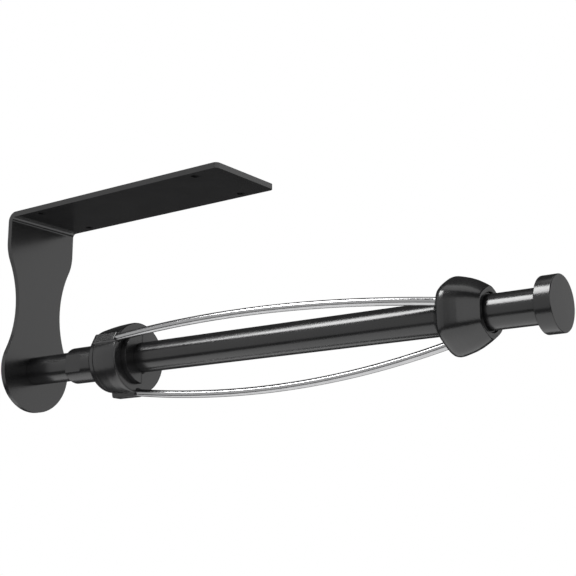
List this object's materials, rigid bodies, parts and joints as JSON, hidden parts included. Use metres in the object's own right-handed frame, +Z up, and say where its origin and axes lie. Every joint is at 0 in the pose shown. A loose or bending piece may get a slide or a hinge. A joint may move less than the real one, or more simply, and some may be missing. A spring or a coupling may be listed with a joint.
{
  "type": "under-cabinet paper towel holder",
  "caption": "Under-cabinet paper towel holder: bent steel bracket, fixed rod, and a turning hub and nose joined by bowed spring wires that grip the roll's core.",
  "frame": {"origin": "centre of the bracket's upper mounting face", "axes": "+Z up, out of the mounting face; +X along the rod to its free end; Y across the bracket"},
  "size_m": [0.3297, 0.0482, 0.1169],
  "materials": {
    "coated_steel": "satin black powder coat",
    "black_plastic": "satin black moulded plastic",
    "spring_steel": "polished stainless spring wire",
    "zinc_steel": "zinc plated",
    "acetal": "black moulded acetal",
    "friction_fibre": "pressed fibre"
  },
  "bodies": {
    "frame": {"bracket": "coated_steel", "fixing_screw": "zinc_steel", "rod_base_insert": "zinc_steel", "rod_tube": "coated_steel", "wrench_collar": "coated_steel", "friction_disc": "friction_fibre", "half_clip": "black_plastic", "rod_end_insert": "zinc_steel", "knob_stud": "zinc_steel", "end_knob": "coated_steel"},
    "carrier": {"hub_shell": "black_plastic", "hub_back_cap": "black_plastic", "hub_bush_left": "acetal", "hub_bush_right": "acetal", "wave_spring": "spring_steel", "wire_anchor_ring": "zinc_steel", "wire_front": "spring_steel", "wire_bottom": "spring_steel", "wire_rear": "spring_steel"},
    "nose": {"nose_rear_cap": "black_plastic", "nose_shell": "black_plastic", "nose_core": "acetal", "nose_bush": "acetal"}
  },
  "joints": [
    {"name": "carrier_spin", "type": "hinge", "parent": "frame", "child": "carrier", "pos_m": [0, 0, -0.0908], "axis": [1, 0, 0], "continuous": true},
    {"name": "nose_slide", "type": "slide", "parent": "carrier", "child": "nose", "axis": [1, 0, 0], "range_m": [0, 0.0009], "stiffness_N_per_m": 1500}
  ]
}
